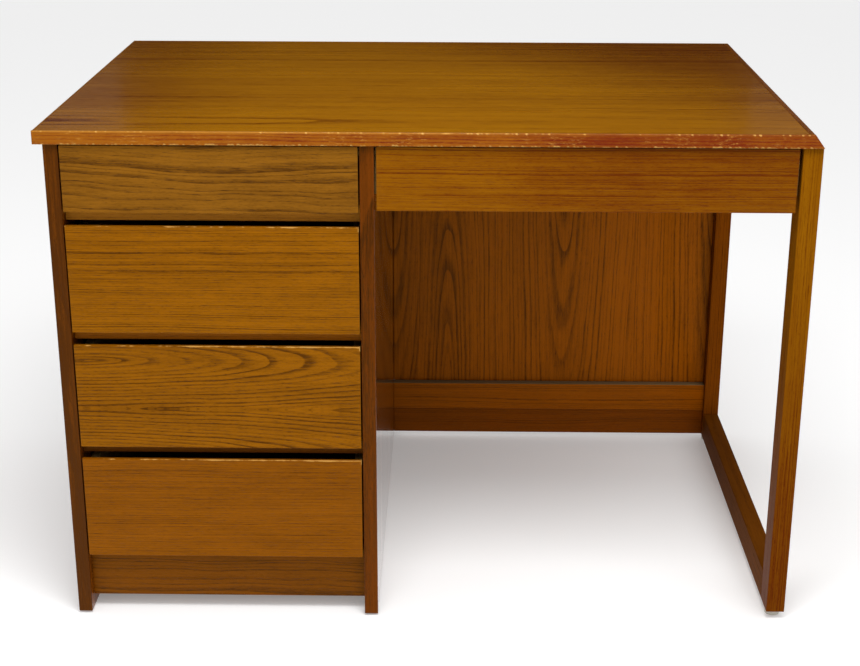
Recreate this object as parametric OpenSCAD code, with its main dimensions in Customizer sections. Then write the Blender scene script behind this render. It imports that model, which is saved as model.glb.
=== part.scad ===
// Single-pedestal teacher desk: four pedestal drawers, a centre drawer over the kneehole,
// a modesty panel and an open wooden frame in place of the right-hand side panel.
// The front faces -Y, and the origin is at the middle of the footprint, on the floor.

/* [Desk] */
// Width of the top, over its edge strips
top_w = 1067; // [1000:1:1250]
// Depth of the top, over its edge strips
top_d = 737; // [680:1:800]
// Height of the top surface above the floor
desk_h = 737; // [710:1:780]

/* [Top] */
// Thickness of the top
top_t = 19; // [16:1:25]
// Thickness of the solid front edge strip
front_strip_t = 5; // [3:1:8]
// Thickness of the thin strips on the left end and the back
thin_strip_t = 3; // [1:1:5]
// How far the right end slopes in between its lower and its upper edge
end_slope = 14; // [2:1:18]
// How far the top stands out past the left side panel
left_overhang = 12; // [0:1:25]
// How far the top stands out past the drawer fronts
front_overhang = 6; // [0:1:15]
// How far the top stands out behind the case
rear_overhang = 30; // [0:1:50]

/* [Pedestal] */
// Width of the pedestal, over both of its side panels
pedestal_w = 449; // [420:1:500]
// Thickness of each side panel
side_t = 20; // [16:1:24]
// Thickness of the back panel
back_t = 12; // [6:1:16]
// Distance from the drawer faces back to the rails
rail_setback = 19; // [19:1:24]
// Height of the lower edge of the base rail
base_rail_z = 22; // [15:1:40]
// Height of each rail between two drawers
rail_h = 24; // [20:1:30]
// Depth of each rail between two drawers
rail_d = 30; // [20:1:45]

/* [Drawers] */
// Height of the lower edge of the lowest drawer front
lowest_front_z = 97; // [90:1:110]
// Height of each of the three deep drawer fronts
deep_front_h = 156; // [140:1:158]
// Open height between two drawer fronts
front_gap = 19; // [14:1:24]
// Height of the lower edge of the centre drawer front
centre_front_z = 627; // [615:1:640]
// Thickness of the drawer fronts
front_t = 18; // [16:1:18]
// Clear gap at each end of a drawer front
front_reveal = 2; // [1:0.5:4]
// Height of the finger bevel cut in the back of a front
pull_h = 14; // [8:1:18]
// Thickness of drawer sides and backs
box_t = 12; // [10:1:14]
// Thickness of drawer bottoms
bottom_t = 4; // [3:1:6]
// Length of the pedestal drawer sides
box_d = 560; // [450:1:600]
// Length of the centre drawer sides
centre_box_d = 470; // [400:1:520]

/* [Side frame] */
// Width of the frame's timbers, across the desk
frame_w = 27; // [22:1:32]
// Depth of the two legs
leg_d = 45; // [38:1:55]
// Height of the foot rail
foot_rail_h = 46; // [38:1:60]
// Height of the top rail of the frame
top_rail_h = 45; // [38:1:60]

/* [Kneehole] */
// Height of the upper edge of the rail under the modesty panel
modesty_rail_top = 113; // [90:1:140]
// Height of the lower edge of the foot rail below that one
modesty_rail_z = 14; // [10:1:20]
// Height of the foot rail itself
modesty_foot_h = 48; // [40:1:56]
// Thickness of the rail under the modesty panel
modesty_rail_t = 20; // [16:1:24]
// How far the foot rail's face is set back from that rail's
modesty_foot_setback = 2; // [0:1:5]
// Thickness of the modesty panel, which is flush with the rail at the back
modesty_t = 6; // [4:1:10]
// Distance from the face of the rear leg back to the face of the rail
modesty_inset = 10; // [4:1:15]
// Gap between the centre drawer front and the right-hand leg
centre_right_gap = 5; // [2:1:8]

/* [Feet] */
// Height of the nailed glides under the pedestal
pedestal_glide_h = 3; // [2:1:5]
// Height of the cushioned glides under the side frame
frame_glide_h = 12; // [8:1:16]
// Radius of the glides
glide_r = 11; // [8:1:12]

/* [Hidden] */
$fn = 48;
// How far a cut runs on past the face it starts from
cut = 1;
// Clear gap between a sliding box and what carries it
slide_gap = 0.5;
// Left and right ends, front and back of the top
x_left = -top_w / 2;
x_right = top_w / 2;
y_front = -top_d / 2;
y_back = top_d / 2;
// Underside of the top
top_z = desk_h - top_t;
// Case: outer face of the left panel, front plane of the drawer faces, back plane
case_x = x_left + left_overhang;
face_y = y_front + front_overhang;
case_back = y_back - rear_overhang;
case_d = case_back - face_y;
rail_y = face_y + rail_setback;
// Pedestal opening and kneehole
opening_x = case_x + side_t;
opening_w = pedestal_w - 2 * side_t;
inner_x = case_x + pedestal_w - side_t;
knee_x = case_x + pedestal_w;
leg_x = x_right - frame_w;
knee_w = leg_x - knee_x;
// Drawer fronts, from the bottom up: lower edges and heights
front_pitch = deep_front_h + front_gap;
front_z = [for (i = [0:3]) lowest_front_z + i * front_pitch];
shallow_front_h = top_z - front_reveal - front_z[3];
front_h = [deep_front_h, deep_front_h, deep_front_h, shallow_front_h];
front_w = opening_w - 2 * front_reveal;
// Each rail's lower face is a little above the front below it
rail_lift = 3;
rail_z = [for (i = [1:3]) front_z[i] - front_gap + rail_lift];
// The base rail reaches up behind the lowest front
base_rail_lap = 8;
base_rail_h = lowest_front_z + base_rail_lap - base_rail_z;
// Stretchers under the top
stretcher_t = 19;
stretcher_d = 60;
// Drawer boxes: clear height above the rail below, and below the rail or stretcher above
box_lift = 3;
deep_headroom = 22;
shallow_headroom = 9;
box_z = [for (z = concat([base_rail_z + base_rail_h], [for (r = rail_z) r + rail_h])) z + box_lift];
box_top = concat([for (r = rail_z) r - deep_headroom], [top_z - stretcher_t - shallow_headroom]);
// Clear gap on each side of a pedestal drawer box
box_side_gap = 3;
box_w = opening_w - 2 * box_side_gap;
// Depth of the grooves for the drawer bottom, and its height above the lower edge of the sides
groove = 5;
bottom_lift = 7;
// Thickness left at the edge of a front beside its finger bevel
pull_lip = 6;
// Runners
runner_w = 18;
runner_h = 12;
back_y = case_back - back_t;
// Centre drawer front
centre_left_gap = 3;
centre_w = knee_w - centre_left_gap - centre_right_gap;
centre_x = knee_x + centre_left_gap;
centre_front_h = top_z - front_reveal - centre_front_z;
// Hanger strips of the centre drawer, and how far they run on behind its box
hanger_t = 12;
hanger_top = top_z - stretcher_t;
hanger_extra = 60;
ledge_w = 28;
ledge_lift = 19;
ledge_z = centre_front_z + ledge_lift;
// Centre drawer box, between the hangers
hanger_gap = 1;
centre_box_x = knee_x + hanger_t + hanger_gap;
centre_box_w = knee_w - 2 * (hanger_t + hanger_gap);
centre_box_z = ledge_z + runner_h + slide_gap;
centre_box_h = 38;
// Side frame and the boards at the back of the kneehole
frame_z = frame_glide_h;
rear_leg_y = case_back - leg_d;
modesty_rail_y = rear_leg_y + modesty_inset;
modesty_y = modesty_rail_y + modesty_rail_t - modesty_t;
modesty_rail_low = modesty_rail_z + modesty_foot_h;
upper_rail_h = 60;
// Glides
pedestal_glide_r = 0.8 * glide_r;
glide_collar_r = 0.7 * glide_r;
glide_foot_h = 0.6 * frame_glide_h;
glide_inset = 35;
// Screws that hold the top: sizes, play, and two for each stretcher
screw_r = 2;
screw_head_r = 4.5;
screw_head_h = 3;
screw_grip = 12;
screw_play = 0.1;
screw_inset = 60;
front_screw_y = rail_y + 40;
rear_stretcher_y = back_y - stretcher_d;
rear_screw_y = rear_stretcher_y + stretcher_d / 2;
SCREWS = [
    [opening_x + screw_inset, front_screw_y], [inner_x - screw_inset, front_screw_y],
    [opening_x + screw_inset, rear_screw_y], [inner_x - screw_inset, rear_screw_y],
    [knee_x + screw_inset, front_screw_y], [leg_x - screw_inset, front_screw_y],
];
// Width of the right-hand edge strip along the top's upper face
right_strip_w = 8;
strip_x = x_right - end_slope - right_strip_w;
strip_y = y_front + front_strip_t;
strip_d = top_d - front_strip_t - thin_strip_t;

// Pedestal drawers and the rails between them, from the floor up
DRAWERS = ["lower_drawer", "middle_drawer", "upper_drawer", "shallow_drawer"];
SHALLOW = 3;
RAILS = ["lower_drawer_rail", "middle_drawer_rail", "upper_drawer_rail"];
PIECES = ["front", "left_side", "right_side", "back", "bottom"];

OAK = [0.60, 0.38, 0.09];
OAK_DARK = [0.42, 0.25, 0.05];
EDGE = [0.68, 0.33, 0.10];
BOARD = [0.66, 0.52, 0.34];
METAL = [0.70, 0.70, 0.70];

// A plain board from its lowest corner
module board(x, y, z, w, d, h) {
    translate([x, y, z]) cube([w, d, h]);
}

// The right end of the top in the XZ plane, from x0 outwards, pushed back along Y
module sloped_end(x0, y, d) {
    translate([0, y + d, 0])
        rotate([90, 0, 0])
            linear_extrude(d)
                polygon([[x0, top_z], [x_right, top_z], [x_right - end_slope, desk_h], [x0, desk_h]]);
}

// Holes and screws share these places
module screw_holes(r, z, h) {
    for (s = SCREWS) translate([s[0], s[1], z]) cylinder(r = r, h = h);
}

module top_panel() {
    color(OAK) difference() {
        board(x_left + thin_strip_t, strip_y, top_z, strip_x - x_left - thin_strip_t, strip_d, top_t);
        screw_holes(screw_r, top_z - cut, screw_grip + cut);
    }
}

module top_front_edge() {
    color(EDGE) sloped_end(x_left, y_front, front_strip_t);
}

module top_rear_edge() {
    color(OAK) sloped_end(x_left, y_back - thin_strip_t, thin_strip_t);
}

module top_left_edge() {
    color(OAK) board(x_left, strip_y, top_z, thin_strip_t, strip_d, top_t);
}

module top_right_edge() {
    color(OAK) sloped_end(strip_x, strip_y, strip_d);
}

module side_panel(x) {
    color(OAK_DARK) board(x, face_y, pedestal_glide_h, side_t, case_d, top_z - pedestal_glide_h);
}

module left_side_panel() {
    side_panel(case_x);
}

module pedestal_inner_panel() {
    side_panel(inner_x);
}

module pedestal_back_panel() {
    color(OAK_DARK) board(opening_x, back_y, base_rail_z, opening_w, back_t, top_z - base_rail_z);
}

// A flat stretcher under the top, bored and counterbored for the screws
module stretcher(x, y, w) {
    color(BOARD) difference() {
        board(x, y, top_z - stretcher_t, w, stretcher_d, stretcher_t);
        screw_holes(screw_r, top_z - stretcher_t - cut, stretcher_t + 2 * cut);
        screw_holes(screw_head_r, top_z - stretcher_t - cut, screw_head_h + cut);
    }
}

module pedestal_front_stretcher() {
    stretcher(opening_x, rail_y, opening_w);
}

module pedestal_rear_stretcher() {
    stretcher(opening_x, rear_stretcher_y, opening_w);
}

module kneehole_stretcher() {
    stretcher(knee_x, rail_y, knee_w);
}

module base_rail() {
    color(OAK) board(opening_x, rail_y, base_rail_z, opening_w, rail_d, base_rail_h);
}

module drawer_rail(i) {
    color(OAK_DARK) board(opening_x, rail_y, rail_z[i], opening_w, rail_d, rail_h);
}

// Four strips that carry the drawer sides, fixed to one side panel
module runners(x) {
    color(BOARD) for (z = box_z)
        board(x, rail_y + rail_d, z - slide_gap - runner_h, runner_w, back_y - rail_y - rail_d, runner_h);
}

module left_drawer_runners() {
    runners(opening_x);
}

module right_drawer_runners() {
    runners(inner_x - runner_w);
}

module modesty_panel() {
    panel_top = top_z - upper_rail_h;
    color(OAK) board(knee_x, modesty_y, modesty_rail_top, knee_w, modesty_t, panel_top - modesty_rail_top);
}

module modesty_lower_rail() {
    h = modesty_rail_top - modesty_rail_low;
    color(OAK_DARK) board(knee_x, modesty_rail_y, modesty_rail_low, knee_w, modesty_rail_t, h);
}

module modesty_foot_rail() {
    y = modesty_rail_y + modesty_foot_setback;
    t = modesty_rail_t - modesty_foot_setback;
    color(OAK_DARK) board(knee_x, y, modesty_rail_z, knee_w, t, modesty_foot_h);
}

module modesty_upper_rail() {
    color(OAK_DARK) board(knee_x, modesty_rail_y, top_z - upper_rail_h, knee_w, modesty_rail_t, upper_rail_h);
}

module leg(y) {
    color(OAK) board(leg_x, y, frame_z, frame_w, leg_d, top_z - frame_z);
}

module front_leg() {
    leg(face_y);
}

module rear_leg() {
    leg(rear_leg_y);
}

module frame_rail(z, h) {
    color(OAK) board(leg_x, face_y + leg_d, z, frame_w, rear_leg_y - face_y - leg_d, h);
}

module frame_foot_rail() {
    frame_rail(frame_z, foot_rail_h);
}

module frame_top_rail() {
    frame_rail(top_z - top_rail_h, top_rail_h);
}

// An L-shaped hanger strip: the upright part is screwed on, the ledge carries the drawer side
module centre_runner(x, ledge_x) {
    h = hanger_top - ledge_z;
    d = centre_box_d + hanger_extra;
    color(BOARD) union() {
        board(x, rail_y, ledge_z, hanger_t, d, h);
        board(ledge_x, rail_y, ledge_z, ledge_w, d, runner_h);
    }
}

module centre_runner_left() {
    centre_runner(knee_x, knee_x);
}

module centre_runner_right() {
    centre_runner(leg_x - hanger_t, leg_x - ledge_w);
}

// Low nailed discs, one near each end of both side panels
module pedestal_glides() {
    color(METAL) for (x = [case_x, inner_x])
        for (y = [face_y + glide_inset, case_back - glide_inset])
            translate([x + side_t / 2, y, 0]) cylinder(r = pedestal_glide_r, h = pedestal_glide_h);
}

// Taller cushioned glides under the two legs: a wide foot below a narrower collar
module frame_glides() {
    color(METAL) for (y = [face_y + leg_d / 2, case_back - leg_d / 2])
        translate([leg_x + frame_w / 2, y, 0]) {
            cylinder(r = glide_r, h = glide_foot_h);
            cylinder(r = glide_collar_r, h = frame_glide_h);
        }
}

module top_screws() {
    z = top_z - stretcher_t;
    color(METAL) for (s = SCREWS) translate([s[0], s[1], z]) {
        cylinder(r = screw_head_r - 2 * screw_play, h = screw_head_h);
        cylinder(r = screw_r - screw_play, h = stretcher_t + screw_grip - cut);
    }
}

// A drawer front in section, with a finger bevel at the back of its top or bottom edge
module front_board(x, z, w, h, top_pull, bottom_pull) {
    upper = top_pull ? [[front_t, h - pull_h], [pull_lip, h]] : [[front_t, h]];
    lower = bottom_pull ? [[pull_lip, 0], [front_t, pull_h]] : [[front_t, 0]];
    color(OAK) translate([x, face_y, z])
        rotate([90, 0, 90])
            linear_extrude(w)
                polygon(concat([[0, 0]], lower, upper, [[0, h]]));
}

// A slot for the drawer bottom, let into the sides, the back and the front
module bottom_slot(x, w, d, z) {
    side = box_t - groove;
    board(x + side, face_y + front_t - groove, z + bottom_lift, w - 2 * side, d, bottom_t);
}

module box_side(x0, x, z, w, d, h) {
    color(BOARD) difference() {
        board(x, face_y + front_t, z, box_t, d, h);
        bottom_slot(x0, w, d - box_t + 2 * groove, z);
    }
}

module box_back(x, z, w, d, h) {
    color(BOARD) difference() {
        board(x + box_t, face_y + front_t + d - box_t, z, w - 2 * box_t, box_t, h);
        bottom_slot(x, w, d - box_t + 2 * groove, z);
    }
}

module box_bottom(x, z, w, d) {
    color(BOARD) bottom_slot(x, w, d - box_t + 2 * groove, z);
}

// One piece of pedestal drawer i, counted from the floor up
module pedestal_drawer(part, i) {
    x = opening_x + box_side_gap;
    h = box_top[i] - box_z[i];
    shallow = i == SHALLOW;
    if (part == "front") {
        difference() {
            front_board(opening_x + front_reveal, front_z[i], front_w, front_h[i], !shallow, shallow);
            bottom_slot(x, box_w, box_d, box_z[i]);
        }
    }
    if (part == "left_side") box_side(x, x, box_z[i], box_w, box_d, h);
    if (part == "right_side") box_side(x, x + box_w - box_t, box_z[i], box_w, box_d, h);
    if (part == "back") box_back(x, box_z[i], box_w, box_d, h);
    if (part == "bottom") box_bottom(x, box_z[i], box_w, box_d);
}

// One piece of the centre drawer
module centre_drawer(part) {
    x = centre_box_x;
    z = centre_box_z;
    w = centre_box_w;
    d = centre_box_d;
    if (part == "front") {
        difference() {
            front_board(centre_x, centre_front_z, centre_w, centre_front_h, false, true);
            bottom_slot(x, w, d, z);
        }
    }
    if (part == "left_side") box_side(x, x, z, w, d, centre_box_h);
    if (part == "right_side") box_side(x, x + w - box_t, z, w, d, centre_box_h);
    if (part == "back") box_back(x, z, w, d, centre_box_h);
    if (part == "bottom") box_bottom(x, z, w, d);
}

top_panel();
top_front_edge();
top_left_edge();
top_right_edge();
top_rear_edge();
left_side_panel();
pedestal_inner_panel();
pedestal_back_panel();
pedestal_front_stretcher();
pedestal_rear_stretcher();
kneehole_stretcher();
base_rail();
left_drawer_runners();
right_drawer_runners();
modesty_panel();
modesty_lower_rail();
modesty_foot_rail();
modesty_upper_rail();
front_leg();
rear_leg();
frame_foot_rail();
frame_top_rail();
centre_runner_left();
centre_runner_right();
pedestal_glides();
frame_glides();
top_screws();
for (i = [0:len(RAILS) - 1])
    drawer_rail(i);
for (i = [0:len(DRAWERS) - 1]) for (p = PIECES)
    pedestal_drawer(p, i);
for (p = PIECES)
    centre_drawer(p);
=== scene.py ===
"""Looks for the teacher desk: varnished oak with a worn front edge, under soft studio light."""
import math

import bmesh
import bpy
from mathutils import Euler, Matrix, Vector, noise


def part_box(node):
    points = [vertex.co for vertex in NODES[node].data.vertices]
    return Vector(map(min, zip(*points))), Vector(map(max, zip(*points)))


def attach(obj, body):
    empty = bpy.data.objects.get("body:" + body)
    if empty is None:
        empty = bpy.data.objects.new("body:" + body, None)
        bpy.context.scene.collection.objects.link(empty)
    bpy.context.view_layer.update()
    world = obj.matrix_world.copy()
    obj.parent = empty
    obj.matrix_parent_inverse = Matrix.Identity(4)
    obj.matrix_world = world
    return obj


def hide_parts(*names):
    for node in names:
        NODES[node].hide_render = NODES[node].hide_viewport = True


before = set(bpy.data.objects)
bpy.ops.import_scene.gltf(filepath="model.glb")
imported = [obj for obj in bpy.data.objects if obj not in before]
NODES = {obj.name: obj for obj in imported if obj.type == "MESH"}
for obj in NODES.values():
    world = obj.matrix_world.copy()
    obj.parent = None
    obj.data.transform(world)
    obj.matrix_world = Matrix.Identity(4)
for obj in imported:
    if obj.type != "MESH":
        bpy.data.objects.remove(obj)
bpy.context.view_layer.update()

AXES = "XYZ"
DRAWERS = ["lower_drawer", "middle_drawer", "upper_drawer", "shallow_drawer", "centre_drawer"]

# Camera, in metres and degrees
CAM_PLACE = (0.0329, -2.4777, 1.2073)
CAM_TURN = (70.31, -0.141, 0.831)
CAM_LENS = 67.0

# Edges, wear and surface, in metres
EDGE_ROUND = 0.0012
WELD_REACH = 0.00002
WEAR_WIDTH = 0.0016
WEAR_FROM, WEAR_FULL = 0.01, 0.005     # below the upper edge, on a board worn only there
PORE_DEPTH = 0.0002
FOLD_SOFTNESS = 0.00002                # square metres

# The worn strip on the front edge of the top, in metres
STRIP_ROUND = 0.0012
STRIP_STATION = 0.0012
CHIP_DEPTH = 0.0012
CHIP_REACH = 0.003
ARRIS_STEPS = 4
FACE_ROWS = 6

# Wear of an edge, 0 to 1, and how far rubbed varnish turns to bare, dull wood
USUAL_WEAR = 0.15
RUBBED_COLOUR, RUBBED_ROUGHNESS = 0.7, 0.25

# Varnish: the clear coat's roughness, and that of the face that mirrors the kneehole
COAT_ROUGHNESS = 0.12
MIRROR_ROUGHNESS = 0.03


def rgb(red, green, blue):
    """A colour as the eye reads it, 0 to 255, turned into linear light."""
    def linear(c):
        c /= 255
        return c / 12.92 if c <= 0.04045 else ((c + 0.055) / 1.055) ** 2.4
    return (linear(red), linear(green), linear(blue), 1.0)


VARNISH = rgb(255, 182, 56)
BARE_WOOD = rgb(206, 156, 80)
SCUFFED = rgb(186, 132, 56)
# Grey of the painted highlight along the upper face of the modesty rail
LEDGE_HIGHLIGHT = rgb(128, 118, 88)
LIGHT_WOOD = 1.12      # the light wood of a board, against its colour as a whole
DARK_BLUE = 0.3        # the blue of its dark lines, against the whole


# ---------------------------------------------------------------- places

def centre(node):
    low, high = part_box(node)
    return (low + high) / 2


def span(node, axis):
    low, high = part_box(node)
    return high[AXES.index(axis)] - low[AXES.index(axis)]


# ---------------------------------------------------------------- node helpers

class Graph:
    """A short way to write shader maths: g.add(a, b) and so on return sockets."""

    def __init__(self, tree):
        self.tree = tree

    def node(self, kind, **settings):
        n = self.tree.nodes.new(kind)
        for key, value in settings.items():
            setattr(n, key, value)
        return n

    def feed(self, socket, value):
        if isinstance(value, bpy.types.NodeSocket):
            self.tree.links.new(value, socket)
        else:
            socket.default_value = value

    def math(self, operation, *values, clamp=False):
        n = self.node("ShaderNodeMath", operation=operation, use_clamp=clamp)
        for socket, value in zip(n.inputs, values):
            self.feed(socket, value)
        return n.outputs[0]

    def add(self, a, b):
        return self.math("ADD", a, b)

    def sub(self, a, b):
        return self.math("SUBTRACT", a, b)

    def mul(self, a, b):
        return self.math("MULTIPLY", a, b)

    def ramp(self, value, low, high, out_low=0.0, out_high=1.0):
        n = self.node("ShaderNodeMapRange", interpolation_type="SMOOTHSTEP")
        for socket, v in zip(n.inputs, (value, low, high, out_low, out_high)):
            self.feed(socket, v)
        return n.outputs[0]

    def vector(self, x, y, z):
        n = self.node("ShaderNodeCombineXYZ")
        for socket, v in zip(n.inputs, (x, y, z)):
            self.feed(socket, v)
        return n.outputs[0]

    def noise(self, vector, detail=2.0, roughness=0.5):
        n = self.node("ShaderNodeTexNoise")
        self.feed(n.inputs["Vector"], vector)
        n.inputs["Scale"].default_value = 1.0
        n.inputs["Detail"].default_value = detail
        n.inputs["Roughness"].default_value = roughness
        return n.outputs["Fac"]

    def noise_1d(self, w, detail=1.0):
        n = self.node("ShaderNodeTexNoise", noise_dimensions="1D")
        self.feed(n.inputs["W"], w)
        n.inputs["Scale"].default_value = 1.0
        n.inputs["Detail"].default_value = detail
        return n.outputs["Fac"]

    def mix(self, factor, a, b):
        n = self.node("ShaderNodeMix", data_type="RGBA")
        for socket, v in ((n.inputs["Factor"], factor), (n.inputs[6], a), (n.inputs[7], b)):
            self.feed(socket, v)
        return n.outputs[2]

    def split(self, vector):
        n = self.node("ShaderNodeSeparateXYZ")
        self.feed(n.inputs[0], vector)
        return list(n.outputs)

    def local(self, middle, axes):
        """Object coordinates measured from a point, in the order that axes names."""
        parts = self.split(self.node("ShaderNodeTexCoord").outputs["Object"])
        return [self.sub(parts[AXES.index(a)], middle[AXES.index(a)]) for a in axes]

    def group(self, tree, **values):
        n = self.node("ShaderNodeGroup")
        n.node_tree = tree
        for name, value in values.items():
            self.feed(n.inputs[name], value)
        return n.outputs


def new_group(name, inputs, outputs):
    tree = bpy.data.node_groups.new(name, "ShaderNodeTree")
    for socket, value in inputs:
        kind = "NodeSocketColor" if isinstance(value, tuple) else "NodeSocketFloat"
        tree.interface.new_socket(socket, in_out="INPUT", socket_type=kind).default_value = value
    for socket, kind in outputs:
        tree.interface.new_socket(socket, in_out="OUTPUT", socket_type=kind)
    group_in, group_out = tree.nodes.new("NodeGroupInput"), tree.nodes.new("NodeGroupOutput")
    return Graph(tree), group_in.outputs, group_out.inputs


def make_oak_group():
    """Ring-porous oak. The growth rings are cylinders round a pith that lies Depth behind the face
    and Offset to one side, and leans by Tilt: a pith close behind the face gives cathedral arches,
    and one far to the side gives straight lines. Spacing parts the rings, by as much as Uneven
    says, and Wave bends them. Contrast darkens the lines, Cloud the patches and Fade the
    whole board: painted shade and painted light on some boards, the wood's own redder tone on the
    front strip."""
    g, i, out = new_group("oak_grain", [
        ("Along", 0.0), ("Across", 0.0), ("Through", 0.0), ("Depth", 0.05), ("Offset", 0.0),
        ("Tilt", 0.05), ("Spacing", 0.005), ("Wave", 0.01), ("Uneven", 2.2), ("Contrast", 0.6),
        ("Cloud", 0.3), ("Fade", 0.0), ("Seed", 0.0),
        ("Light", rgb(150, 92, 12)), ("Dark", rgb(86, 44, 3)),
    ], [("Color", "NodeSocketColor"), ("Height", "NodeSocketFloat"), ("Roughness", "NodeSocketFloat")])
    u, v, w, seed = i["Along"], i["Across"], i["Through"], i["Seed"]

    def grain_noise(along, across, detail, offset, roughness=0.5):
        """Noise round zero. along and across are its waves per metre, offset picks its place."""
        place = g.vector(g.add(g.mul(u, along), g.add(g.mul(seed, 3.1), offset)),
                         g.add(g.mul(v, across), g.mul(seed, 1.7)), g.mul(w, across))
        return g.sub(g.noise(place, detail, roughness), 0.5)

    warp_v = g.mul(grain_noise(3.0, 8.0, 2.0, 0.0), i["Wave"])
    warp_w = g.mul(grain_noise(3.6, 7.0, 3.0, 40.0), g.mul(i["Wave"], 0.6))
    ripple = g.mul(grain_noise(18.0, 70.0, 2.0, 80.0), 0.0022)
    pith = g.add(g.add(g.add(w, i["Depth"]), g.mul(u, i["Tilt"])), warp_w)
    side = g.add(g.add(v, i["Offset"]), warp_v)
    radius = g.add(g.math("SQRT", g.add(g.mul(side, side), g.mul(pith, pith))), ripple)
    rings = g.math("DIVIDE", radius, i["Spacing"])
    uneven = g.mul(g.sub(g.noise_1d(g.add(g.mul(rings, 0.45), seed)), 0.5), i["Uneven"])
    phase = g.math("FRACT", g.add(rings, uneven))
    early = g.math("MAXIMUM", g.ramp(phase, 0.0, 0.5, 1.0, 0.0), g.ramp(phase, 0.93, 1.0))
    strength = g.ramp(g.noise_1d(g.add(g.mul(rings, 0.31), g.add(seed, 9.0))), 0.32, 0.68, 0.25, 1.0)
    broken = g.ramp(grain_noise(30.0, 420.0, 2.0, 60.0), -0.2, 0.1, 0.45, 1.0)
    ring_mark = g.mul(g.mul(early, strength), broken)
    pores = g.mul(g.ramp(grain_noise(55.0, 1000.0, 1.0, 120.0), 0.04, 0.15),
                  g.ramp(early, 0.0, 1.0, 0.3, 1.0))
    ticks = g.ramp(grain_noise(170.0, 1300.0, 0.0, 240.0), 0.13, 0.22)
    fibre = grain_noise(7.0, 280.0, 4.0, 160.0, 0.65)
    broad = grain_noise(1.4, 9.0, 2.0, 200.0)
    mottle = grain_noise(14.0, 55.0, 4.0, 280.0, 0.65)
    marks = g.add(g.add(ring_mark, g.mul(fibre, 1.3)), g.add(g.mul(pores, 0.5), g.mul(ticks, 0.35)))
    clouds = g.mul(g.add(broad, mottle), i["Cloud"])
    ground = g.add(g.add(clouds, i["Fade"]), 0.12)
    dark = g.math("ADD", g.mul(marks, i["Contrast"]), ground, clamp=True)
    g.feed(out["Color"], g.mix(dark, i["Light"], i["Dark"]))
    g.feed(out["Height"], g.mul(g.add(pores, g.mul(ring_mark, 0.4)), -1.0))
    g.feed(out["Roughness"], g.add(g.mul(pores, 0.1), g.mul(broad, 0.12)))
    return g.tree


def make_wear_group():
    """Varnish rubbed off along the edges of a board. X, Y and Z are measured from its middle, and
    Wide, Deep and High are half its sizes. The mask is 1 within Width of two faces at once."""
    g, i, out = new_group("edge_wear", [
        ("X", 0.0), ("Y", 0.0), ("Z", 0.0), ("Wide", 0.1), ("Deep", 0.1), ("High", 0.1),
        ("Width", WEAR_WIDTH), ("Seed", 0.0), ("Amount", 0.5),
    ], [("Mask", "NodeSocketFloat")])

    def inside(place, half):
        """How far inside the face a place is."""
        return g.sub(half, g.math("ABSOLUTE", place))

    dx, dy, dz = inside(i["X"], i["Wide"]), inside(i["Y"], i["Deep"]), inside(i["Z"], i["High"])
    near, far = g.math("MINIMUM", dx, dy), g.math("MAXIMUM", dx, dy)
    second = g.math("MAXIMUM", near, g.math("MINIMUM", far, dz))
    waves = 60.0
    place = g.vector(g.add(g.mul(i["X"], waves), i["Seed"]), g.mul(i["Y"], waves), g.mul(i["Z"], waves))
    ragged = g.noise(place, 4.0, 0.7)
    reach = g.mul(i["Width"], g.ramp(ragged, g.sub(0.75, g.mul(i["Amount"], 0.6)), 0.8, 0.0, 1.6))
    g.feed(out["Mask"], g.ramp(g.sub(reach, second), -0.0002, 0.0005))
    return g.tree


OAK = make_oak_group()
WEAR = make_wear_group()


def principled(name):
    material = bpy.data.materials.new(name)
    material.use_nodes = True
    return material, Graph(material.node_tree), material.node_tree.nodes["Principled BSDF"].inputs


def add_bump(g, shader, height):
    bump = g.node("ShaderNodeBump")
    g.feed(bump.inputs["Height"], height)
    bump.inputs["Distance"].default_value = PORE_DEPTH
    g.feed(shader["Normal"], bump.outputs[0])


def varnish(shader, coat, level):
    """A thin warm varnish: the wood's own gloss takes the varnish's colour, the coat stays clear."""
    shader["Specular IOR Level"].default_value = level
    shader["Specular Tint"].default_value = VARNISH
    shader["Coat Weight"].default_value = coat
    shader["Coat Roughness"].default_value = COAT_ROUGHNESS


def wear_mask(g, node, seed, amount):
    """Rubbed edges. Where amount is over a half, only the upper edge is that worn, and less so
    towards its left end."""
    x, y, z = g.local(centre(node), AXES)
    wide, deep, high = (span(node, a) / 2 for a in AXES)
    if amount > 0.5:
        upper_edge = g.ramp(x, -wide, 0.0, 0.4, amount)
        amount = g.ramp(z, high - WEAR_FROM, high - WEAR_FULL, 0.1, upper_edge)
    return g.group(WEAR, X=x, Y=y, Z=z, Wide=wide, Deep=deep, High=high, Width=WEAR_WIDTH,
                   Seed=seed, Amount=amount)["Mask"]


def painted_ledge_highlight(g, node, colour, rough):
    """A painted highlight, grey along the upper face of a board, for the light that the ledge catches:
    its colour and roughness, with the grey and a higher roughness there.
    """
    below = g.local(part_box(node)[1], "Z")[0]
    lit_ledge = g.ramp(below, -0.0009, -0.0002)
    return g.mix(g.mul(lit_ledge, 0.8), colour, LEDGE_HIGHLIGHT), g.add(rough, g.mul(lit_ledge, 0.4))


def mirror_right_face(g, node, shader, coat):
    """A clear coat that mirrors, on the face of a board that is towards +X."""
    inward = g.local(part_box(node)[1], "X")[0]
    g.feed(shader["Coat Weight"], g.ramp(inward, -0.0006, -0.0001, coat, 1.0))
    shader["Coat Roughness"].default_value = MIRROR_ROUGHNESS


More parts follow.
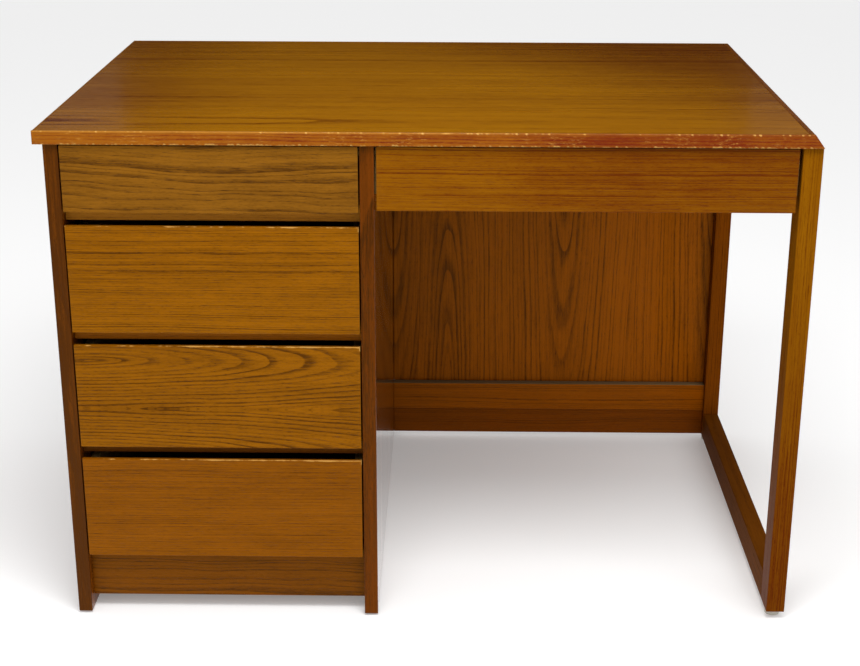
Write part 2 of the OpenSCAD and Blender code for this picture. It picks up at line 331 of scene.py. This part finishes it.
def oak(name, node, grain, fig, seed, finish, wear=USUAL_WEAR):
    """A varnished oak material for one board. grain is its three axes: along, across, through."""
    material, g, shader = principled(name)
    gloss, coat, level = finish
    along, across, through = g.local(centre(node), grain)
    # The whole-board darkening from the table of ramps is painted shade and painted light on most
    # boards that have ramps.
    grown = g.group(OAK, Along=along, Across=fold(g, node, across), Through=through, Seed=seed,
                    Fade=shade_and_tone_at(g, node), **fig)
    colour, rough = grown["Color"], grown["Roughness"]
    if wear:
        rubbed = wear_mask(g, node, seed, wear)
        colour = g.mix(g.mul(rubbed, RUBBED_COLOUR), colour, BARE_WOOD)
        rough = g.add(rough, g.mul(rubbed, RUBBED_ROUGHNESS))
    # painted highlight: grey along the upper face of the modesty rail
    if node == "modesty_lower_rail":
        colour, rough = painted_ledge_highlight(g, node, colour, rough)
    g.feed(shader["Base Color"], colour)
    g.feed(shader["Roughness"], g.add(rough, gloss))
    varnish(shader, coat, level)
    if node == "pedestal_inner_panel":
        mirror_right_face(g, node, shader, coat)
    add_bump(g, shader, grown["Height"])
    return material


def shade_and_tone_at(g, node):
    """How much darker the board is painted at each place, as the table of ramps says: painted shade
    and painted light on the top, the front leg, the centre drawer front and the modesty panel.
    """
    total = 0.0
    for weights, start, end, first, last in SHADE_AND_TONE_RAMPS.get(node, []):
        place = 0.0
        for axis, weight in weights.items():
            from_middle = g.local(centre(node), axis)[0]
            place = g.add(place, g.mul(from_middle, weight / (span(node, axis) / 2)))
        total = g.add(total, g.ramp(place, start, end, first, last))
    return total


def fold(g, node, across):
    """Mirrors the grain about the line that FOLDS says, which closes its lines into spindles."""
    if node not in FOLDS:
        return across
    off = g.sub(across, FOLDS[node])
    return g.add(g.math("SQRT", g.add(g.mul(off, off), FOLD_SOFTNESS)), FOLDS[node])


# ---------------------------------------------------------------- boards

def wood(red, green, blue, dark_red=0.6, dark_green=0.5):
    """Light and dark colours of an oak board, round the colour that it has as a whole."""
    return {"Light": rgb(red * LIGHT_WOOD, green * LIGHT_WOOD, blue),
            "Dark": rgb(red * dark_red, green * dark_green, blue * DARK_BLUE)}


def figure(tone, depth, offset, tilt, spacing, wave, contrast, cloud=0.3, uneven=2.2):
    """A board's figure, as the oak group takes it. Lengths are in metres."""
    return {"Depth": depth, "Offset": offset, "Tilt": tilt, "Spacing": spacing, "Wave": wave,
            "Contrast": contrast, "Cloud": cloud, "Uneven": uneven, **tone}


def straight(tone, contrast=0.55, spacing=0.0045, wave=0.012, cloud=0.35):
    """A figure of straight lines: the pith is far to the side."""
    return figure(tone, 0.08, 0.3, 0.01, spacing, wave, contrast, cloud)


# The top's dark colour, low in green, is also the colour of the painted shade on the top, which turns
# redder towards the back right.
TOP = wood(136, 88, 3, dark_green=0.35)
CASE = wood(89, 40, 4)
SIDE = wood(110, 55, 4)
LEG = wood(120, 74, 4, dark_red=0.72, dark_green=0.4)

# Each board's axes along, across and through its grain, and its figure
BOARDS = {
    "top_panel": ("XYZ", straight(TOP, spacing=0.006)),
    "top_left_edge": ("YZX", straight(wood(118, 70, 7))),
    "top_right_edge": ("YXZ", straight(wood(104, 56, 5))),
    "top_rear_edge": ("XZY", straight(TOP)),
    "left_side_panel": ("ZYX", figure(SIDE, 0.05, 0.04, 0.09, 0.009, 0.03, 1.0, 0.5)),
    "pedestal_inner_panel": ("ZYX", figure(CASE, 0.06, 0.0, -0.08, 0.009, 0.03, 1.0, 0.5)),
    "pedestal_back_panel": ("ZXY", figure(wood(112, 58, 4), 0.05, 0.02, 0.10, 0.009, 0.04, 0.7)),
    # The base rail's colour is darker than the boards above it: painted shade towards the floor.
    "base_rail": ("XZY", figure(wood(99, 53, 5), 0.03, 0.05, 0.03, 0.008, 0.03, 0.7, 0.5)),
    "lower_drawer_rail": ("XZY", straight(wood(88, 46, 8))),
    "middle_drawer_rail": ("XZY", straight(wood(142, 80, 12))),
    "upper_drawer_rail": ("XZY", straight(wood(166, 107, 34))),
    # The lower drawer front's colour is darker than the fronts above it: painted shade towards the
    # floor.
    "lower_drawer_front": ("XZY", straight(wood(117, 65, 3), 0.6, spacing=0.003, cloud=0.5)),
    "middle_drawer_front": ("XZY", figure(wood(121, 72, 4), 0.03, -0.055, 0.11, 0.005, 0.012,
                                          0.95, 0.5, 1.2)),
    "upper_drawer_front": ("XZY", straight(wood(124, 74, 4), 0.75, spacing=0.003, wave=0.008,
                                           cloud=0.5)),
    "shallow_drawer_front": ("XZY", figure(wood(115, 73, 18), 0.05, 0.11, 0.05, 0.009, 0.07,
                                           0.85, 0.9)),
    "centre_drawer_front": ("XZY", straight(wood(118, 71, 4, 0.75, 0.43), 0.65, cloud=0.8)),
    "modesty_lower_rail": ("XZY", straight(wood(131, 66, 2), wave=0.02)),
    "modesty_foot_rail": ("XZY", straight(wood(106, 49, 2), wave=0.02)),
    "modesty_upper_rail": ("XZY", straight(wood(100, 54, 6), wave=0.02)),
    "front_leg": ("ZXY", straight(LEG, wave=0.006)),
    "rear_leg": ("ZXY", straight(wood(106, 52, 3), wave=0.006)),
    "frame_foot_rail": ("YZX", straight(wood(95, 51, 3), wave=0.006)),
    "frame_top_rail": ("YZX", straight(LEG, wave=0.006)),
}

# Boards painted darker from one place to another: painted shade and painted light on the top, the
# front leg, the centre drawer front and the modesty panel, and a darker front face on the left side
# panel. Places are measured along axes, or a mix of them, as shares of the half-size: where it starts
# and ends, and how much darker the board is there, lighter where that is below zero.
SHADE_AND_TONE_RAMPS = {
    # top: painted shade towards its left end, its right end and its back, most at the back right, so
    # that the front middle looks lit most
    "top_panel": [({"X": 1.0}, -1.0, -0.4, 0.35, 0.0), ({"X": 0.8, "Y": 0.5}, 0.15, 1.0, 0.0, 0.42),
                  ({"X": 1.0}, 0.2, 0.9, 0.0, 0.1), ({"Y": 1.0}, 0.2, 1.0, 0.0, 0.12)],
    "left_side_panel": [({"Y": 1.0}, -1.0, -0.985, 0.75, 0.0)],
    # front leg: painted shade, darker towards the floor
    "front_leg": [({"Z": 1.0}, -1.0, 0.8, 0.64, 0.0)],
    # centre drawer front: painted shade, darker towards its right end
    "centre_drawer_front": [({"X": 1.0}, -0.7, 0.3, 0.0, 0.35)],
    # modesty panel: painted shade at its left end beside the pedestal, and painted light right of its
    # middle, taken back near its right end
    "modesty_panel": [({"X": 1.0}, -1.0, -0.4, 0.15, 0.0), ({"X": 1.0}, 0.2, 0.5, 0.0, -0.12),
                      ({"X": 1.0}, 0.6, 0.9, 0.0, 0.12)],
}

# Boards whose grain is the same on both sides of a level line: how far above the middle it is
FOLDS = {"middle_drawer_front": -0.018}

# Roughness, clear coat and specular level of a varnished board, and of those that differ
FINISH = (0.28, 0.03, 0.3)
FINISHES = {
    "top_panel": (0.28, 0.13, 0.12),
    "left_side_panel": (0.28, 0.06, 0.3),
    "front_leg": (0.55, 0.0, 0.1),
    "rear_leg": (0.5, 0.0, 0.1),
    "frame_foot_rail": (0.7, 0.0, 0.05),
    "top_front_edge": (0.3, 0.12, 0.3),
}
INNER_FINISH = (0.45, 0.0, 0.3)
HARDBOARD_FINISH = (0.5, 0.0, 0.3)

# How worn the edges are, where they aren't as usual
WORN = {"lower_drawer_front": 0.85, "middle_drawer_front": 0.8, "upper_drawer_front": 0.6,
        "top_panel": 0.0, "top_right_edge": 0.0}

# Veneer leaves of the modesty panel, from its left end: where each leaf ends, the place of its
# heart line, and the pith's lean, which is below zero where the arches point down (metres)
LEAVES = [(0.046, 0.0, -0.08), (0.176, 0.100, 0.075), (0.440, 0.311, -0.07), (0.6, 0.585, -0.07)]
END, HEART, LEAN = range(3)


def give(node, material):
    obj = NODES[node]
    obj.data.materials.clear()
    obj.data.materials.append(material)


def dress_boards():
    for number, (node, (grain, fig)) in enumerate(BOARDS.items()):
        finish, wear = FINISHES.get(node, FINISH), WORN.get(node, USUAL_WEAR)
        give(node, oak("oak_" + node, node, grain, fig, number * 1.37, finish, wear))


def stepped(g, place, column):
    """The leaf's value in that column of LEAVES, at a place across the panel."""
    value = LEAVES[0][column]
    for before, leaf in zip(LEAVES, LEAVES[1:]):
        past = g.math("GREATER_THAN", place, before[END])
        value = g.add(value, g.mul(past, leaf[column] - before[column]))
    return value


def dress_modesty_panel():
    material, g, shader = principled("oak_modesty_panel")
    node = "modesty_panel"
    gloss, coat, level = FINISH
    along, across, through = g.local(centre(node), "ZXY")
    place = g.add(across, span(node, "X") / 2)
    fig = figure(wood(134, 68, 2), depth=0.028, offset=0.0, tilt=stepped(g, place, LEAN),
                 spacing=0.0068, wave=0.012, contrast=0.85, cloud=0.6, uneven=1.8)
    # The whole-board darkening here is the modesty panel's painted shade at its left end and painted
    # light right of its middle.
    grown = g.group(OAK, Along=along, Across=g.sub(place, stepped(g, place, HEART)), Through=through,
                    Seed=17.3, Fade=shade_and_tone_at(g, node), **fig)
    g.feed(shader["Base Color"], grown["Color"])
    g.feed(shader["Roughness"], g.add(grown["Roughness"], gloss))
    varnish(shader, coat, level)
    add_bump(g, shader, grown["Height"])
    give(node, material)


# ---------------------------------------------------------------- worn front strip

def strip_profile(depth, height):
    """The strip's section as (y, z), going round it: four eased arrises, then the front face."""
    points = []
    corners = [(0, 0, 180), (1, 0, 270), (1, 1, 0), (0, 1, 90)]
    for at_y, at_z, start in corners:
        y = STRIP_ROUND + at_y * (depth - 2 * STRIP_ROUND)
        z = STRIP_ROUND + at_z * (height - 2 * STRIP_ROUND)
        for k in range(ARRIS_STEPS + 1):
            a = math.radians(start + 90 * k / ARRIS_STEPS)
            points.append((y + STRIP_ROUND * math.cos(a), z + STRIP_ROUND * math.sin(a)))
    for k in range(1, FACE_ROWS):
        points.append((0.0, height - STRIP_ROUND - (height - 2 * STRIP_ROUND) * k / FACE_ROWS))
    return points


def wear_at(x, high_side):
    """How far a front arris is worn at x, from 0 to 1."""
    row = 7.0 if high_side else 3.0
    long_wave = noise.noise(Vector((x * 6.0, row, 1.0)))
    short = noise.noise(Vector((x * 60.0, row * 2, 5.0)))
    chip = noise.noise(Vector((x * 230.0, row * 3, 9.0)))
    base = 0.1 + 0.12 * x if high_side else 0.27
    return max(0.0, min(1.0, base + 0.3 * long_wave + 0.45 * short + 0.7 * chip))


def strip_rings(bm, layer):
    """Rings of vertices along the strip. The arrises are bitten back where they are chipped."""
    low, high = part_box("top_front_edge")
    depth, height = high[1] - low[1], high[2] - low[2]
    slope = top_slope("top_front_edge")
    profile = strip_profile(depth, height)
    stations = round((high[0] - low[0]) / STRIP_STATION)
    for i in range(stations + 1):
        ring = []
        for y, z in profile:
            reach = high[0] - slope * z / height - low[0]
            x = low[0] + reach * i / stations
            to_arris = math.hypot(y, min(z, height - z))
            worn = wear_at(x, z > height / 2) * max(0.0, 1 - to_arris / CHIP_REACH)
            bite = CHIP_DEPTH * worn * worn
            inward = -1 if z > height / 2 else 1
            vert = bm.verts.new((x, low[1] + y + bite, low[2] + z + bite * inward))
            vert[layer] = worn
            ring.append(vert)
        yield ring


def top_slope(node):
    """How far the right end leans in between the lower and the upper edge of a strip of the top."""
    low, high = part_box(node)
    upper = [v.co.x for v in NODES[node].data.vertices if v.co.z > high[2] - 1e-4]
    return high[0] - max(upper)


def add_object(name, data):
    obj = bpy.data.objects.new(name, data)
    bpy.context.scene.collection.objects.link(obj)
    return obj


def build_front_edge():
    """The solid front strip, with its arrises eased, dented and chipped. It fills the CAD strip."""
    bm = bmesh.new()
    rings = list(strip_rings(bm, bm.verts.layers.float.new("wear")))
    for a, b in zip(rings, rings[1:]):
        for k in range(len(a)):
            bm.faces.new((a[k - 1], b[k - 1], b[k], a[k]))
    bm.faces.new(rings[0])
    bm.faces.new(reversed(rings[-1]))
    bmesh.ops.recalc_face_normals(bm, faces=bm.faces)
    for face in bm.faces:
        face.smooth = len(face.verts) == 4
    mesh = bpy.data.meshes.new("worn_front_edge")
    bm.to_mesh(mesh)
    bm.free()
    obj = add_object("worn_front_edge", mesh)
    mesh.materials.append(front_edge_material())
    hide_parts("top_front_edge")
    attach(obj, "desk")


def front_edge_material():
    """Reddish oak, redder to the right, with scuffs in clusters and a soft light upper arris. The
    mesh's wear attribute lays the wood bare where it is chipped."""
    material, g, shader = principled("front_edge_strip")
    gloss, coat, level = FINISHES["top_front_edge"]
    along, across, through = g.local(centre("top_front_edge"), "XZY")
    fig = straight(wood(130, 73, 10, 0.8, 0.3), 0.6, cloud=1.5)
    redder = g.ramp(along, 0.0, 0.4, 0.06, 0.45)
    grown = g.group(OAK, Along=along, Across=across, Through=through, Seed=31.0, Fade=redder, **fig)
    long_way, short_way = 110.0, 380.0
    speckle = g.noise(g.vector(g.mul(along, long_way), g.mul(across, short_way),
                               g.mul(through, short_way)), 3.0, 0.75)
    clusters = g.ramp(g.noise_1d(g.add(g.mul(along, 14.0), 2.0), 3.0), 0.45, 0.62, 0.1, 0.6)
    scuffs = g.mul(g.ramp(speckle, 0.5, 0.72), clusters)
    half = span("top_front_edge", "Z") / 2
    upper = g.mul(g.ramp(across, half - 0.003, half - 0.0008), g.ramp(along, -0.1, 0.3, 0.45, 0.2))
    worn = g.node("ShaderNodeAttribute", attribute_name="wear").outputs["Fac"]
    rubbed = g.ramp(worn, 0.1, 0.4)
    colour = g.mix(g.math("MAXIMUM", scuffs, upper), grown["Color"], SCUFFED)
    g.feed(shader["Base Color"], g.mix(g.mul(rubbed, 0.75), colour, BARE_WOOD))
    g.feed(shader["Roughness"],
           g.add(g.add(grown["Roughness"], gloss), g.mul(rubbed, RUBBED_ROUGHNESS)))
    varnish(shader, coat, level)
    add_bump(g, shader, grown["Height"])
    return material


# ---------------------------------------------------------------- inside and underneath

def dress_inner():
    """Pale unstained oak for the drawers' boxes and the runners, hardboard for their bottoms."""
    pale_tone = {"Light": rgb(196, 160, 104), "Dark": rgb(136, 98, 54)}
    pale = figure(pale_tone, 0.2, 0.1, 0.05, 0.006, 0.03, 0.4)
    plan = [n for n in NODES if n.endswith(("_side", "_back")) and "drawer" in n]
    plan += ["left_drawer_runners", "right_drawer_runners", "centre_runner_left", "centre_runner_right",
             "pedestal_front_stretcher", "pedestal_rear_stretcher", "kneehole_stretcher"]
    for number, node in enumerate(sorted(plan)):
        sizes = {a: span(node, a) for a in AXES}
        grain = "".join(sorted(AXES, key=lambda a: -sizes[a]))
        give(node, oak("inner_" + node, node, grain, pale, 50 + number * 2.3, INNER_FINISH))
    board_tone = {"Light": rgb(132, 90, 52), "Dark": rgb(92, 58, 30)}
    board = figure(board_tone, 0.3, 0.0, 0.02, 0.02, 0.02, 0.2)
    for number, drawer in enumerate(DRAWERS):
        node = drawer + "_bottom"
        give(node, oak("hardboard_" + node, node, "YXZ", board, 90 + number, HARDBOARD_FINISH, wear=0))


def dress_metal():
    material, g, shader = principled("zinc_screw")
    x, y, z = g.local((0, 0, 0), AXES)
    spots = g.noise(g.vector(g.mul(x, 900.0), g.mul(y, 900.0), g.mul(z, 900.0)), 3.0)
    g.feed(shader["Base Color"], g.mix(spots, rgb(206, 200, 184), rgb(150, 146, 136)))
    shader["Metallic"].default_value = 1.0
    g.feed(shader["Roughness"], g.ramp(spots, 0.3, 0.7, 0.25, 0.5))
    give("top_screws", material)


def dress_glides():
    material, g, shader = principled("glide_nylon")
    x, y, z = g.local((0, 0, 0), AXES)
    scuffs = g.noise(g.vector(g.mul(x, 400.0), g.mul(y, 400.0), g.mul(z, 1500.0)), 4.0)
    g.feed(shader["Base Color"], g.mix(scuffs, rgb(214, 210, 200), rgb(170, 164, 150)))
    g.feed(shader["Roughness"], g.ramp(scuffs, 0.3, 0.7, 0.35, 0.6))
    for node in ("pedestal_glides", "frame_glides"):
        give(node, material)


def ease_edges():
    for obj in NODES.values():
        weld = obj.modifiers.new("weld", "WELD")
        weld.merge_threshold = WELD_REACH
        bevel = obj.modifiers.new("bevel", "BEVEL")
        bevel.width = EDGE_ROUND
        bevel.segments = 3
        bevel.limit_method = "ANGLE"


# ---------------------------------------------------------------- camera, light, floor

# The sun is as wide as a sky: its strength, its spread in degrees and where it shines from
SUN_POWER, SUN_SPREAD, SUN_FROM = 0.6, 45, (1.2, -2.6, 3.0)

# Area lights: place, the point that they face, and size in metres, and power in watts. The two
# windows stand behind the desk and show only as soft light on the ends of the top.
AREA_LIGHTS = {
    "key": ((0.1, -1.15, 2.2), (0, -0.1, 0.7), (1.2, 0.8), 30),
    "left_window": ((-1.2, 2.6, 1.36), (-0.48, -0.2, 0.74), (0.34, 0.3), 0.09),
    "right_window": ((1.1, 2.4, 1.36), (0.48, -0.33, 0.74), (0.3, 0.3), 0.06),
}

# The world's strength in reflections, and how much is added where the camera or diffuse light sees it
WORLD_REFLECTED, WORLD_SEEN, WORLD_DIFFUSE = 0.01, 0.92, 0.62

FLOOR_REACH = 14
FLOOR_GLOW = 0.2


def place_camera():
    data = bpy.data.cameras.new("camera")
    data.sensor_width = 36
    data.lens = CAM_LENS
    camera = add_object("camera", data)
    camera.location = CAM_PLACE
    camera.rotation_euler = Euler([math.radians(a) for a in CAM_TURN])
    bpy.context.scene.camera = camera


def hang_light(name, data, location, target):
    light = add_object(name, data)
    light.location = location
    light.rotation_euler = (Vector(target) - Vector(location)).to_track_quat("-Z", "Y").to_euler()
    light.visible_camera = False


def area_light(name, location, target, size, power):
    data = bpy.data.lights.new(name, "AREA")
    data.shape = "RECTANGLE"
    data.size, data.size_y = size
    data.energy = power
    hang_light(name, data, location, target)


def light_studio():
    sun = bpy.data.lights.new("sky_panel", "SUN")
    sun.energy = SUN_POWER
    sun.angle = math.radians(SUN_SPREAD)
    hang_light("sky_panel", sun, SUN_FROM, (0, 0, 0))
    for name, settings in AREA_LIGHTS.items():
        area_light(name, *settings)
    bpy.context.scene.world = studio_world()
    bpy.context.scene.view_settings.view_transform = "Standard"


def studio_world():
    """Pale for the camera, even for diffuse light, and dark in reflections like a quiet room."""
    world = bpy.data.worlds.new("studio")
    world.use_nodes = True
    g = Graph(world.node_tree)
    path = g.node("ShaderNodeLightPath").outputs
    background = world.node_tree.nodes["Background"].inputs
    background["Color"].default_value = (1, 1, 1, 1)
    seen = g.add(g.mul(path["Is Camera Ray"], WORLD_SEEN), g.mul(path["Is Diffuse Ray"], WORLD_DIFFUSE))
    g.feed(background["Strength"], g.add(seen, WORLD_REFLECTED))
    return world


def lay_floor():
    mesh = bpy.data.meshes.new("floor")
    bm = bmesh.new()
    bmesh.ops.create_grid(bm, x_segments=1, y_segments=1, size=FLOOR_REACH)
    bm.to_mesh(mesh)
    bm.free()
    floor = add_object("floor", mesh)
    material, _, shader = principled("floor_paint")
    shader["Base Color"].default_value = rgb(241, 241, 241)
    shader["Roughness"].default_value = 0.8
    shader["Specular IOR Level"].default_value = 0.1
    shader["Emission Color"].default_value = (1, 1, 1, 1)
    shader["Emission Strength"].default_value = FLOOR_GLOW
    mesh.materials.append(material)


place_camera()
light_studio()
lay_floor()
dress_boards()
dress_modesty_panel()
build_front_edge()
dress_inner()
dress_metal()
dress_glides()
ease_edges()
